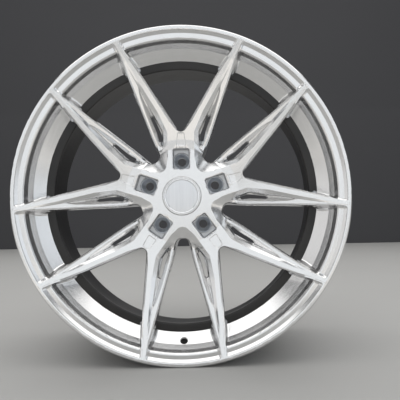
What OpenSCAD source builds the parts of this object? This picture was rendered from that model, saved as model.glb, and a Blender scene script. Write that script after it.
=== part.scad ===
// Forged two-part road-racing wheel.
// A forged front carries the lip, ten spokes in five forked arms and the hub.
// A separate inner barrel is bolted to the spokes' feet from behind.
// Axis along Y, front towards -Y, one arm straight up along +Z,
// origin on the axis at the middle of the wheel's width.

/* [Rim] */
// Diameter over the tyre flanges
flange_d = 543; // [541:0.5:545]
// Overall width, lip to lip
rim_w = 267; // [266:0.5:270]
// Diameter of the bead seats
seat_d = 507.9; // [507:0.1:508]
// Clear radius inside the drop centre
drop_r = 226; // [225:0.5:227]
// Wall thickness of the inner barrel
barrel_wall = 4.8; // [4.5:0.1:6]
// Diameter of the valve hole
valve_d = 11.5; // [11.3:0.1:12]

/* [Hub] */
// Offset of the mounting face in front of the rim's middle
wheel_offset = 35; // [34:0.5:36]
// Diameter of the lug bolt circle
lug_pcd = 120; // [119:0.5:121]
// Diameter of the lug bolt holes
lug_hole_d = 15; // [14:0.5:15.5]
// Diameter of the hub bore, inside the spigot ring
bore_d = 72.6; // [72:0.1:73]
// Outer diameter of the spigot ring
spigot_d = 76; // [75.5:0.1:76.5]
// Radius of the hub's mounting face
hub_face_r = 76; // [75:0.5:78]

/* [Spokes] */
// Depth of the hub's front face behind the lip
hub_depth = 50; // [49:0.5:51]
// Depth of the web between the arms, at the hub
web_depth = 62; // [61:0.5:63]
// Half the width of an arm beside its lug pocket
arm_half_w = 29.5; // [29:0.25:30]
// Width of the bevel along the arms
bevel_w = 7; // [5:0.5:8]

/* [Centre cap] */
// Diameter of the cap
cap_d = 64.4; // [64:0.1:64.6]
// Clearance of the cap in its bore, on the radius
cap_gap = 0.3; // [0.2:0.05:0.5]

/* [Hardware] */
// Radius of the barrel bolts' circle
bolt_circle_r = 219; // [218.5:0.1:219.5]
// Distance between the two bolts of a spoke foot
bolt_pair = 17; // [16:0.5:18]
// Thread diameter of the barrel bolts
bolt_d = 7; // [6.5:0.5:7]

/* [Hidden] */
$fn = 96;

arms = 5;
arm_step = 360 / arms;
flange_r = flange_d / 2;
seat_r = seat_d / 2;
half_w = rim_w / 2;
face_depth = half_w - wheel_offset;      // mounting face, behind the lip

joint_depth = 46;                        // plane where barrel and forging meet
joint_r = 240;                           // outer radius of that plane
flange_inner_r = 212;                    // inner radius of the barrel's flange
flange_t = 9;                            // thickness of the barrel's flange
seal_r = 233;                            // middle radius of the ring seal
seal_w = 4;
seal_h = 3;

flange_w = 12.85;                        // width of a tyre flange
curl_r = 9.5;                            // radius of the flange's curl
curl_c = flange_r - curl_r;              // radius of the curl's centre
curl_depth = flange_w - curl_r;
hump_h = 0.9;
spoke_foot_angle = 20.5;                 // foot centre, from the arm's middle

valley_r = 17;                           // fillet between neighbouring arms
corner_fn = 24;                          // segments of a rounded window corner
valve_seat_t = 5;                        // wall left at the valve hole
valve_seat_d = 17;
valve_r = 238;                           // radius and depth at which it meets the cone strip
valve_depth = 35.1;
valve_lean = 47;                         // from the wheel's axis
lug_r = lug_pcd / 2;
hub_inner_r = 30;                        // start of the hub's profiles, inside its bore
seat_top = 74;                           // depth of a lug seat's front edge
seat_outer_r = 14.2;
seat_cone_r = 13;
seat_cone_h = 9.5;
seat_bottom = 90;
pocket_floor = 66;
pocket_half_w = 14;
fit_gap = 0.05;                          // radial gap of pressed rings

cap_r = cap_d / 2;
cap_front = 46.5;                        // depth of the cap's front rim
cap_bore_r = cap_r + cap_gap;
cap_bore_end = 70;
badge_r = 27;
bezel_r = 29.4;

head_r = 5.6;
head_h = 6.5;
washer_r = 6.2;
washer_t = 1.2;
insert_r = 4.4;
insert_h = 14;

// A depth behind the front lip as a place along Y
function at(d) = d - half_w;
// Points of an arc round (cr, cd) from angle a to b, as [radius, depth]
function arc(cr, cd, r, a, b, n) =
    [for (i = [0 : n]) let (t = a + (b - a) * i / n) [cr + r * cos(t), cd + r * sin(t)]];

// Depth profile [radius, depth] turned round the wheel's axis
module revolve(profile) {
    rotate([-90, 0, 0])
        rotate_extrude($fn = 180)
            polygon([for (p = profile) [p[0], at(p[1])]]);
}

// Outline in X and Z, extruded between two depths
module slab(d0, d1) {
    translate([0, at(d1), 0])
        rotate([90, 0, 0])
            linear_extrude(d1 - d0)
                children();
}

// Cylinder or cone along Y between two depths
module along_axis(d0, d1, r0, r1) {
    translate([0, at(d0), 0])
        rotate([-90, 0, 0])
            cylinder(h = d1 - d0, r1 = r0, r2 = r1);
}

// Ring along Y between two depths
module ring(d0, d1, r_out, r_in) {
    difference() {
        along_axis(d0, d1, r_out, r_out);
        along_axis(d0 - 1, d1 + 1, r_in, r_in);
    }
}

// Copies turned round the axis, clockwise seen from the front
module around(n, step, start = 0) {
    for (i = [0 : n - 1])
        rotate([0, start + i * step, 0])
            children();
}

// A shape and its mirror image in X
module both_sides() {
    children();
    mirror([1, 0, 0]) children();
}

// ---------- front forging ----------

front_rim = concat(
    [[flange_r - 4.5, 0], [flange_r - 2, 0], [flange_r, 2]],
    arc(curl_c, curl_depth, curl_r, 0, 90, 10),
    [
        [257.5, flange_w], [seat_r + 0.3, 16.5], [seat_r - 1.1, 33],
        [seat_r - 1.1 + hump_h, 36], [seat_r - 2, 39], [joint_r, joint_depth],
        [joint_r, joint_depth + 3], [drop_r, joint_depth + 3], [drop_r, joint_depth - 1],
        [drop_r + 17, 31], [248.8, 22], [250.2, 9.5], [252.6, 7], [flange_r - 11, 7]
    ]
);

// Raised arms and spokes: front land from the hub out to the lip
upper_star = [
    [hub_inner_r, hub_depth], [80, hub_depth], [95, hub_depth - 2], [266, 0], [268, 0],
    [268, 6], [262, 10], [246, 30], [228, 24], [80, web_depth + 2],
    [hub_inner_r, web_depth + 2]
];
// Webs and blades below them, down to the back of the spokes
lower_star = [
    [hub_inner_r, web_depth], [80, web_depth], [226, 12], [246, 28], [236, 42],
    [229, joint_depth + 2], [206, joint_depth + 2], [150, 61], [98, 84],
    [hub_face_r + 2, face_depth - 2], [hub_face_r, face_depth], [hub_inner_r, face_depth]
];

// Window between the two spokes of an arm
module arm_window() {
    offset(r = 8, $fn = corner_fn) offset(delta = -8)
        polygon([
            [-7, 108], [-7, 113], [-84, 234], [-100, 260], [0, 275],
            [100, 260], [84, 234], [7, 113], [7, 108]
        ]);
}

// Window between two arms, drawn with its middle line upwards
module gap_window() {
    offset(r = 8.5, $fn = corner_fn) offset(delta = -8.5)
        polygon([
            [-9, 73], [-18, 114], [-56, 245], [-61, 262], [0, 275],
            [61, 262], [56, 245], [18, 114], [9, 73]
        ]);
}

// Raised part's outline: five arms forking into ten spokes
module arm_outline() {
    offset(delta = 0.01) {
        offset(r = -valley_r, $fn = 48) offset(delta = valley_r)
            for (i = [0 : arms - 1])
                rotate(i * arm_step)
                    translate([-arm_half_w, 0])
                        square([2 * arm_half_w, 107]);
        for (i = [0 : arms - 1], side = [0, 1])
            rotate(i * arm_step)
                mirror([side, 0])
                    polygon([
                        [0, 90], [-arm_half_w, 90], [-arm_half_w, 107], [-31, 112],
                        [-44.5, 140], [-67, 176], [-98.5, 237], [-107, 258],
                        [0, 262]
                    ]);
    }
}

// Slot that goes right through between a spoke and its blade
module slot_outline() {
    offset(r = 1, $fn = corner_fn) offset(delta = -1)
        polygon([
            [-50.5, 136], [-45.5, 134.5], [-38, 117], [-32.5, 104],
            [-32.5, 94], [-37.5, 93], [-42, 110], [-50.5, 131]
        ]);
}

// Straight chamfer along an edge from p to q, both [x, z, depth]; its outer side is on the left
module edge_chamfer(p, q, w, h) {
    along = [q[0] - p[0], q[2] - p[2], q[1] - p[1]];
    len = norm(along);
    w_axis = along / len;
    u_flat = cross([0, -1, 0], w_axis);
    u_axis = u_flat / norm(u_flat);
    v_axis = cross(w_axis, u_axis);
    multmatrix([
        [u_axis[0], v_axis[0], w_axis[0], p[0]],
        [u_axis[1], v_axis[1], w_axis[1], at(p[2])],
        [u_axis[2], v_axis[2], w_axis[2], p[1]],
        [0, 0, 0, 1]
    ])
        translate([0, 0, -2])
            linear_extrude(len + 4)
                polygon([[-2 * w, h], [1, -h * (1 + 1 / w)], [1, h]]);
}

// Pocket round a lug hole, with its stepped seat
module lug_pocket() {
    slab(hub_depth - 10, pocket_floor)
        offset(r = 3, $fn = corner_fn) offset(delta = -3)
            polygon([
                [-pocket_half_w, 45], [-pocket_half_w, 80],
                [pocket_half_w, 80], [pocket_half_w, 45]
            ]);
    translate([0, 0, lug_r]) {
        along_axis(pocket_floor - 8, pocket_floor + 1, 15.5, 15.5);
        along_axis(pocket_floor - 1, seat_bottom, seat_outer_r + fit_gap, seat_outer_r + fit_gap);
        along_axis(seat_bottom - 1, face_depth + 1, lug_hole_d / 2, lug_hole_d / 2);
    }
}

// Shallow recess between the lug pocket and the fork
module arm_recess() {
    slab(hub_depth - 10, hub_depth + 1.5)
        offset(r = 2, $fn = corner_fn) offset(delta = -2)
            polygon([[-8, 85], [-5.5, 106], [5.5, 106], [8, 85]]);
}

// Relief in the back of the hub between two lug holes
module hub_relief() {
    slab(face_depth - 18, face_depth + 1)
        offset(r = 6, $fn = corner_fn) offset(delta = -6)
            polygon([[-14, 46], [-19, 69], [19, 69], [14, 46]]);
}

// Hole for the valve, through the cone strip and clear of the barrel, with a flat seat on the tyre side
module valve_hole() {
    translate([0, at(valve_depth), -valve_r])
        rotate([-90 - valve_lean, 0, 0])
            union() {
                translate([0, 0, -15])
                    cylinder(h = 30, d = valve_d);
                translate([0, 0, valve_seat_t])
                    cylinder(h = 15, d = valve_seat_d);
            }
}

// Middle of each barrel bolt as angles from an arm's middle line
bolt_half_angle = asin(bolt_pair / 2 / bolt_circle_r);
bolt_angles = [
    for (i = [0 : arms - 1], side = [-1, 1], pair = [-1, 1])
        i * arm_step + side * spoke_foot_angle + pair * bolt_half_angle
];

// One shape at every barrel bolt
module at_bolts() {
    for (a = bolt_angles)
        rotate([0, a, 0])
            translate([0, 0, bolt_circle_r])
                children();
}

// Foot of a spoke, wide enough for its two bolts
module spoke_foot() {
    rotate([0, spoke_foot_angle, 0])
        slab(26, joint_depth + 1)
            polygon([[-15, 211], [-17.5, 229], [17.5, 229], [15, 211], [8, 200], [-8, 200]]);
}

// Raised arms with the bevels along their sides and round the valleys between them
module raised_star() {
    valley = (arm_half_w + valley_r) / sin(arm_step / 2);
    turn = 90 - arm_step / 2;
    difference() {
        intersection() {
            revolve(upper_star);
            slab(-5, 70) arm_outline();
        }
        around(arms, arm_step)
            both_sides()
                edge_chamfer(
                    [-arm_half_w, valley * cos(arm_step / 2), hub_depth],
                    [-arm_half_w, 108, hub_depth], bevel_w, bevel_w
                );
        around(arms, arm_step, arm_step / 2)
            for (a = [-turn : turn / 2 : turn - 1])
                let (b = a + turn / 2)
                    edge_chamfer(
                        [valley_r * sin(a), valley - valley_r * cos(a), hub_depth],
                        [valley_r * sin(b), valley - valley_r * cos(b), hub_depth],
                        bevel_w, bevel_w
                    );
    }
}

module front_forging() {
    color([0.82, 0.82, 0.83])
        difference() {
            union() {
                revolve(front_rim);
                difference() {
                    union() {
                        revolve(lower_star);
                        raised_star();
                    }
                    around(arms, arm_step) slab(-5, 110) arm_window();
                    around(arms, arm_step, arm_step / 2) slab(-5, 110) gap_window();
                }
                around(arms, arm_step) both_sides() spoke_foot();
            }
            around(arms, arm_step) {
                both_sides() slab(0, 110) slot_outline();
                lug_pocket();
                arm_recess();
            }
            around(arms, arm_step, arm_step / 2) hub_relief();
            revolve([
                [flange_inner_r - 0.3, joint_depth], [joint_r + 6, joint_depth],
                [joint_r + 6, joint_depth + 9], [flange_inner_r - 0.3, joint_depth + 9]
            ]);
            along_axis(0, cap_bore_end, cap_bore_r, cap_bore_r);
            along_axis(63, 68, cap_bore_r + 1.1, cap_bore_r + 1.1);
            along_axis(cap_bore_end - 1, face_depth + 1, spigot_d / 2, spigot_d / 2);
            along_axis(face_depth - 2, face_depth + 1, spigot_d / 2, spigot_d / 2 + 3);
            valve_hole();
            at_bolts() along_axis(joint_depth - insert_h - 2, joint_depth + 1, insert_r, insert_r);
        }
}

// ---------- inner barrel and what fastens it ----------

rear_d = rim_w;
drop_outer_r = drop_r + barrel_wall;
rear_outer_r = seat_r - 2.4;
rear_inner_r = rear_outer_r - barrel_wall;
barrel_section = concat(
    [
        [flange_inner_r, joint_depth], [joint_r, joint_depth],
        [joint_r, joint_depth + 4], [drop_outer_r, 62], [drop_outer_r, 120],
        [rear_outer_r - 1.5, 172], [rear_outer_r, 180], [rear_outer_r, rear_d - 39],
        [seat_r - 1.1 + hump_h, rear_d - 36], [seat_r - 1.1, rear_d - 33],
        [seat_r + 0.3, rear_d - 16.5], [257.5, rear_d - flange_w]
    ],
    [for (p = arc(curl_c, 0, curl_r, 90, 0, 10)) [p[0], rear_d - curl_depth - p[1]]],
    [
        [flange_r, rear_d - 2], [flange_r - 2, rear_d], [flange_r - 6, rear_d],
        [259, rear_d - 4.5], [249, rear_d - 11], [rear_inner_r, rear_d - 20],
        [rear_inner_r, 180], [rear_inner_r - 1.5, 174], [drop_r, 122],
        [drop_r, joint_depth + flange_t + 1], [drop_r - 0.6, joint_depth + flange_t],
        [flange_inner_r, joint_depth + flange_t]
    ]
);

module inner_barrel() {
    color([0.06, 0.06, 0.065])
        difference() {
            revolve(barrel_section);
            ring(joint_depth - 1, joint_depth + seal_h, seal_r + seal_w / 2, seal_r - seal_w / 2);
            at_bolts()
                along_axis(joint_depth - 1, joint_depth + flange_t + 1, bolt_d / 2 + 0.25, bolt_d / 2 + 0.25);
        }
}

// Ring seal, pressed flat in the groove of the barrel's flange
module barrel_seal() {
    half = seal_w / 2 - 0.1;
    color([0.12, 0.12, 0.12])
        revolve([
            [seal_r - half, joint_depth + 0.6], [seal_r - half + 0.6, joint_depth],
            [seal_r + half - 0.6, joint_depth], [seal_r + half, joint_depth + 0.6],
            [seal_r + half, joint_depth + seal_h - 0.6], [seal_r + half - 0.6, joint_depth + seal_h],
            [seal_r - half + 0.6, joint_depth + seal_h], [seal_r - half, joint_depth + seal_h - 0.6]
        ]);
}

// Twelve-point flanged bolts, heads behind the barrel's flange
module barrel_bolts() {
    head_d = joint_depth + flange_t + washer_t;
    color([0.75, 0.75, 0.77])
        at_bolts() {
            along_axis(joint_depth - insert_h + 1, head_d + 1, bolt_d / 2 - 0.05, bolt_d / 2 - 0.05);
            along_axis(head_d, head_d + 1.5, head_r + 0.4, head_r + 0.4);
            for (turn = [0, 30])
                rotate([0, turn, 0])
                    translate([0, at(head_d + 1), 0])
                        rotate([-90, 0, 0])
                            cylinder(h = head_h - 1, r = head_r, $fn = 6);
        }
}

module bolt_washers() {
    color([0.6, 0.6, 0.62])
        at_bolts()
            ring(joint_depth + flange_t, joint_depth + flange_t + washer_t, washer_r, bolt_d / 2 + 0.3);
}

// Steel threads in the spokes' feet
module thread_inserts() {
    color([0.55, 0.55, 0.57])
        at_bolts()
            ring(joint_depth - insert_h, joint_depth - 0.5, insert_r - fit_gap, bolt_d / 2);
}

// ---------- hub ----------

// Pressed steel seat for the cone of a lug bolt
module lug_seat(i) {
    color([0.7, 0.7, 0.72])
        rotate([0, (i - 1) * arm_step, 0])
            translate([0, 0, lug_r])
                revolve([
                    [lug_hole_d / 2, seat_top + seat_cone_h], [seat_cone_r, seat_top],
                    [seat_outer_r - 0.4, seat_top], [seat_outer_r, seat_top + 0.4],
                    [seat_outer_r, seat_bottom], [lug_hole_d / 2, seat_bottom]
                ]);
}

// Centring ring pressed into the hub bore from behind
module spigot_ring() {
    r_in = bore_d / 2;
    r_out = spigot_d / 2 - fit_gap;
    color([0.66, 0.67, 0.7])
        revolve([
            [r_in, 85.5], [r_in + 0.5, 85], [r_out - 0.5, 85], [r_out, 85.5],
            [r_out, face_depth - 2], [r_out + 1.4, face_depth - 0.5],
            [r_in + 1, face_depth - 0.5], [r_in, face_depth - 1.5]
        ]);
}

// ---------- centre cap ----------

cap_floor = 49.2;
cap_rear = 56;
carrier_r = 27.9;
screw_r = 25.7;
leg_count = 6;

// One shape at every cap screw
module at_cap_screws() {
    around(3, 120, 60)
        translate([0, 0, screw_r])
            children();
}

module cap_body() {
    color([0.78, 0.78, 0.79])
        difference() {
            revolve([
                [0, cap_floor], [bezel_r, cap_floor], [bezel_r, cap_front + 0.5],
                [bezel_r + 0.5, cap_front], [cap_r - 0.9, cap_front], [cap_r, cap_front + 0.9],
                [cap_r, cap_rear], [carrier_r + 0.1, cap_rear], [carrier_r + 0.1, cap_floor + 3],
                [0, cap_floor + 3]
            ]);
            at_cap_screws() along_axis(cap_floor + 1, cap_floor + 4, 1.25, 1.25);
        }
}

module cap_bezel() {
    r_in = badge_r + 0.1;
    r_out = bezel_r - 0.05;
    color([0.93, 0.93, 0.94])
        revolve([
            [r_in, cap_floor], [r_in, cap_front + 0.5], [r_in + 0.5, cap_front + 0.1],
            [r_out - 0.4, cap_front + 0.1], [r_out, cap_front + 0.5], [r_out, cap_floor]
        ]);
}

// Plain, slightly domed disc
module cap_badge() {
    color([0.72, 0.73, 0.76])
        revolve([
            [0, cap_floor], [0, 47], [14, 47.1], [22, 47.3], [badge_r - 0.6, 47.5],
            [badge_r, 48], [badge_r, cap_floor]
        ]);
}

// Plastic ring with six sprung legs
module cap_carrier() {
    color([0.08, 0.08, 0.08])
        difference() {
            revolve([
                [23.5, cap_floor + 3], [carrier_r, cap_floor + 3], [carrier_r, cap_rear],
                [31.8, cap_rear], [31.6, 63.5], [cap_r, 65], [cap_r, 66.5], [31, 69.5],
                [29.6, 69.5], [29.6, 58.4], [23.5, 58.4]
            ]);
            around(leg_count, 360 / leg_count)
                translate([-5, at(59), 26])
                    cube([10, 20, 10]);
            at_cap_screws() along_axis(cap_floor, 60, 1.35, 1.35);
        }
}

// Round wire ring that spreads the legs
module cap_spring_ring() {
    color([0.6, 0.6, 0.62])
        rotate([-90, 0, 0])
            rotate_extrude()
                translate([28.6, at(66.5)])
                    circle(r = 0.9, $fn = 24);
}

module cap_screws() {
    color([0.7, 0.7, 0.72])
        at_cap_screws() {
            along_axis(cap_floor + 1.5, 59, 1.2, 1.2);
            along_axis(58.4, 60, 2.3, 1.9);
        }
}

front_forging();
inner_barrel();
barrel_seal();
barrel_bolts();
bolt_washers();
thread_inserts();
lug_seat(1);  // lug_seat_1
lug_seat(2);  // lug_seat_2
lug_seat(3);  // lug_seat_3
lug_seat(4);  // lug_seat_4
lug_seat(5);  // lug_seat_5
spigot_ring();
cap_body();
cap_bezel();
cap_badge();
cap_carrier();
cap_spring_ring();
cap_screws();
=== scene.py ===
import math

import bmesh
import bpy
import numpy as np
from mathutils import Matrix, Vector


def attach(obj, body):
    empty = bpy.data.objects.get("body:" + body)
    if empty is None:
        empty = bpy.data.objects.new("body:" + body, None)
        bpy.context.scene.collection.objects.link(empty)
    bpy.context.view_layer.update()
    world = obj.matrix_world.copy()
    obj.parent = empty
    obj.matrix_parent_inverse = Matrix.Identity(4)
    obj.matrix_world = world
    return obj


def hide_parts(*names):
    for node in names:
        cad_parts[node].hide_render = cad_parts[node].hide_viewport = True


# Two-part forged wheel, its axis along Y and its front towards -Y. The scene is in metres. Shapes are
# worked out in millimetres as (x, z, depth), where depth is measured back from the front of the lip.

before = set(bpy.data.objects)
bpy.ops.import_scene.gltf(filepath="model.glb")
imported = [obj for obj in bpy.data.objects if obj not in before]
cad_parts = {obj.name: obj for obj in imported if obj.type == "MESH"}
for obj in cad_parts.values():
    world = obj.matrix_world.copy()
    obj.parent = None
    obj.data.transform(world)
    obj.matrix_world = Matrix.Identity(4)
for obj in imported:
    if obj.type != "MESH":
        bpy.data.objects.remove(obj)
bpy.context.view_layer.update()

# ---------- driving dimensions, in mm ----------

FRONT = 133.5              # depth of the wheel's middle
LIP_R = 271.5
REAR_DEPTH = 267           # back edge of the barrel
HUB_DEPTH = 50             # front of the hub
WEB_DEPTH = 62             # front of the webs at the hub
FACE_DEPTH = 98.5          # mounting face
JOINT_DEPTH = 46           # face that the barrel's flange is bolted to
JOINT_R = 240
FLANGE_T = 4               # barrel's flange, outside its thicker bolting ring
BOLTING_T = 9
HUB_SPAN = 96.5            # depth where the hub bore's chamfer starts
BARREL_BORE_R = 212        # inside of the barrel's flange
CAP_SEAT_DEPTH = 49.2      # face of the cap body that holds the disc
CAP_BORE_R = 32.5
SPIGOT_BORE_R = 38
LUG_CIRCLE_R = 60
LUG_HOLE_R = 7.5
LUG_POCKET_DEPTH = 66
SEAT_TOP = 74
SEAT_BOTTOM = 90
SEAT_R = 14.2
SEAT_HOLE_R = 14.25
BOLT_CIRCLE_R = 219
BOLT_HOLE_R = 4.4
BOLT_PAIR_HALF = 8.5       # half the distance between the two bolts of a foot
FOOT_TURN = math.radians(20.5)
BOLT_TURN = math.asin(BOLT_PAIR_HALF / BOLT_CIRCLE_R)
VALVE_TILT = math.radians(47)
VALVE_AT = (0.0, -238.0, 35.1)
VALVE_R = 5.75
VALVE_SEAT_R = 8.5
VALVE_WALL = 5
VALVE_CHAMFER = 0.9

ARMS = 5
HALF = math.radians(36)    # from the middle of an arm to the middle of the gap beside it

GRID, FACES_KEPT = ((1.0, 0.115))
WELD = 3e-6                # metres

# ---------- shapes as signed distances, in mm: negative inside ----------

def polygon_distance(px, pz, points):
    """Signed distance to a closed polygon."""
    shape = np.broadcast(px, pz).shape
    nearest = np.full(shape, 1e12)
    inside = np.zeros(shape, bool)
    for (ax, az), (bx, bz) in zip(points, points[1:] + points[:1]):
        ex, ez = bx - ax, bz - az
        wx, wz = px - ax, pz - az
        t = np.clip((wx * ex + wz * ez) / (ex * ex + ez * ez), 0, 1)
        nearest = np.minimum(nearest, (wx - ex * t) ** 2 + (wz - ez * t) ** 2)
        if az != bz:
            inside ^= ((az > pz) != (bz > pz)) & (px < ex * (pz - az) / ez + ax)
    return np.where(inside, -1, 1) * np.sqrt(nearest)


def inset(points, r):
    """Polygon moved inwards by r."""
    area = sum(a[0] * b[1] - b[0] * a[1] for a, b in zip(points, points[1:] + points[:1]))
    side = 1 if area > 0 else -1
    lines = []
    for a, b in zip(points, points[1:] + points[:1]):
        length = math.hypot(b[0] - a[0], b[1] - a[1])
        nx, nz = -side * (b[1] - a[1]) / length, side * (b[0] - a[0]) / length
        lines.append((nx, nz, nx * a[0] + nz * a[1] + r))
    moved = []
    for (a1, b1, c1), (a2, b2, c2) in zip(lines[-1:] + lines[:-1], lines):
        det = a1 * b2 - a2 * b1
        moved.append(((c1 * b2 - c2 * b1) / det, (a1 * c2 - a2 * c1) / det))
    return moved


def rounded(px, pz, points, r):
    """Signed distance to a polygon with its corners rounded by r."""
    return polygon_distance(px, pz, inset(points, r)) - r


def union(a, b, r=0):
    """Both shapes together, with a fillet of radius r where they meet."""
    if r == 0:
        return np.minimum(a, b)
    return np.maximum(r, np.minimum(a, b)) - np.hypot(np.maximum(r - a, 0), np.maximum(r - b, 0))


def common(a, b, r=0):
    """What the two shapes share, its edge rounded by r."""
    return -union(-a, -b, r)


def cut(a, b, r=0):
    """The first shape without the second."""
    return -union(-a, b, r)


def both(half):
    """A polygon given by its left half, from the bottom up, mirrored to the right."""
    right = [(-x, z) for x, z in reversed(half) if x != 0]
    return list(half) + right


def in_gap(points):
    """Points of an arm's left half, in the frame whose upward axis is the middle of the gap beside it."""
    c, s = math.cos(HALF), math.sin(HALF)
    return [(-x * c - z * s, z * c - x * s) for x, z in points]


# Outlines in the wheel's plane, as (x, z) with z outwards along an arm or a gap
ARM_WINDOW = both([(0, 102), (-84, 234), (-105, 268), (0, 292)])
GAP_WINDOW = both([(-9, 72.5), (-18, 110), (-57, 245), (-62, 264), (0, 290)])
VALLEY = both([(0, 29.5 / math.sin(HALF))] + in_gap([(-29.5, 109), (-110, 258)]) + [(0, 330)])
HUB_ROUND = [(0, 51.9), (-2.9, 52.2), (-5.8, 53.2), (-8.5, 54.9), (-10.6, 57.2)]
LAND_SIDE = [(-22.5, 64), (-22.5, 107), (-38, 140), (-56.5, 170), (-93.5, 232), (-112, 264)]
LAND_GAP = both(HUB_ROUND + in_gap(LAND_SIDE) + [(0, 330)])
LUG_POCKET = both([(-14, 45), (-14, 80)])
RECESS = both([(-8, 85), (-5.5, 106)])
SLOT = [(50.5, 136), (45.5, 134.5), (38, 117), (32.5, 104), (32.5, 94), (37.5, 93), (42, 110), (50.5, 131)]
HUB_RELIEF = both([(-14, 46), (-19, 69)])

# Sections through the wheel, as (radius, depth)
RIM = [
    (267, 0), (269.5, 0), (LIP_R, 2), (LIP_R, 4.5), (270.6, 7.4), (268.4, 10), (265.2, 12), (262, 12.85),
    (257.5, 12.85), (254.25, 16.5), (252.85, 33), (253.75, 36), (251.95, 39), (JOINT_R, JOINT_DEPTH),
    (226, JOINT_DEPTH), (225.9, 45), (242.9, 31), (248.8, 22), (250.1, 10.8), (250.8, 8.8), (252.6, 7.4),
    (254.5, 7), (260.4, 7),
]
BACK = [
    (20, -40), (268, -40), (268, 6), (252, 15), (249.5, 28), (246, 30), (236, 42), (229, 48), (206, 48),
    (150, 61), (98, 84), (78, HUB_SPAN), (76, FACE_DEPTH), (20, FACE_DEPTH),
]


def fold(x, z):
    """Radius, and place in the frames of the nearest arm and the nearest gap, on their right side."""
    r = np.hypot(x, z)
    t = np.arctan2(x, z)
    t = np.abs((t + HALF) % (2 * HALF) - HALF)
    return r, r * np.sin(t), r * np.cos(t), r * np.sin(HALF - t), r * np.cos(HALF - t)


def plan(x, z):
    """Everything that depends on the place in the wheel's plane only."""
    r, ax, az, gx, gz = fold(x, z)
    window = rounded(ax, az, ARM_WINDOW, 8)
    gap = rounded(gx, gz, GAP_WINDOW, 8.6)
    valley = rounded(gx, gz, VALLEY, 17)
    land_gap = polygon_distance(gx, gz, LAND_GAP)
    slim = np.interp(r, [196, 226, 244], [0, 1.8, 3.5])

    land = np.interp(r, [0, 80, 95, 266, 300], [HUB_DEPTH, HUB_DEPTH, HUB_DEPTH - 2, 0, 0])
    web = np.maximum(np.interp(r, [0, 80, 226, 300], [WEB_DEPTH, WEB_DEPTH, 12, -13.3]), land + 0.4)

    # Bevels along the windows, and from the land down to the wall of the valley
    bevel = np.interp(az, [106, 113, 126, 170, 235], [1.5, 2.5, 4.2, 3.6, 1.8])
    ramp_window = bevel * np.clip(1 - (window - slim) / bevel, 0, 1)
    bevel = np.interp(r, [72, 84, 100, 230, 262], [1.6, 2.6, 3.2, 3, 2])
    ramp_gap = bevel * np.clip(1 - gap / bevel, 0, 1)
    drop = np.interp(r, [55, 66, 80, 140, 170, 200, 232], [8.5, 7.5, 7, 6, 4, 1.4, 1])
    share = np.where(land_gap > 0, 0, np.clip(-land_gap / np.maximum(-land_gap + valley, 0.05), 0, 1))
    share = np.where(valley < 0, 1, share)

    # Blade beside the gap's window, and the pocket between it and the spoke, deepest near the hub
    blade = np.interp(r, [64, 75, 89, 99, 152, 182, 190, 197, 206],
                      [4.6, 7, 9.4, 10.5, 10.8, 9.4, 10.6, 14, 24])
    pocket = blade - gap
    deeper = np.interp(az, [60, 68, 78, 94, 132, 150, 180, 196], [-0.5, 0, 4.5, 12, 10, 5.5, 2.4, 0])
    bevel = np.interp(r, [80, 100, 150, 175, 188], [1.6, 4.4, 5, 2.6, 0.1])
    ramp_pocket = bevel * np.clip(1 - pocket / bevel, 0, 1)
    sunk = np.clip(-land_gap, 0, 60) / (np.clip(-land_gap, 0, 60) + np.clip(gap, 0.1, 60))

    holes = [np.hypot(ax - BOLT_CIRCLE_R * math.sin(a), az - BOLT_CIRCLE_R * math.cos(a))
             for a in (FOOT_TURN - BOLT_TURN, FOOT_TURN + BOLT_TURN)]
    return {
        "r": r, "ax": ax, "az": az, "window": window, "gap": gap, "valley": valley, "pocket": pocket,
        "land": land, "web": web, "slim": slim,
        "front": land + drop * share + ramp_window,
        "web_front": web + ramp_gap + ramp_pocket + ramp_window,
        "hub_front": land + 6.5 * sunk * (1.2 - 0.2 * sunk) + ramp_gap,
        "fillet_front": web + ramp_window + ramp_gap - 0.4,
        "floor": web + deeper,
        "slot": rounded(ax, az, SLOT, 1.4),
        "lug": rounded(ax, az, LUG_POCKET, 3.2),
        "recess": rounded(ax, az, RECESS, 2),
        "relief": rounded(gx, gz, HUB_RELIEF, 6),
        "lug_r": np.hypot(ax, az - LUG_CIRCLE_R),
        "bolt_r": np.minimum(*holes),
        "draft": np.interp(r, [208, 222, 234], [0.05, 0.09, 0.14]),
        "neck": union(common(slim - window, -valley), 264.6 - r, 4.2),
    }


def table_of(points, r0, r1, d0, d1, step):
    """A section's distance, looked up in a table, which is quick enough for a whole grid."""
    rs = np.arange(r0, r1 + step, step)
    ds = np.arange(d0, d1 + step, step)
    values = polygon_distance(rs[:, None], ds[None, :], points)

    def look(r, d):
        u = np.clip((r - r0) / step, 0, len(rs) - 1.001)
        v = np.clip((d - d0) / step, 0, len(ds) - 1.001)
        i, j = u.astype(int), v.astype(int)
        u, v = u - i, v - j
        return ((values[i, j] * (1 - v) + values[i, j + 1] * v) * (1 - u)
                + (values[i + 1, j] * (1 - v) + values[i + 1, j + 1] * v) * u)
    return look


def exact(points):
    """A section's distance, worked out where it is asked for."""
    return lambda r, d: polygon_distance(r, d, points)


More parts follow.
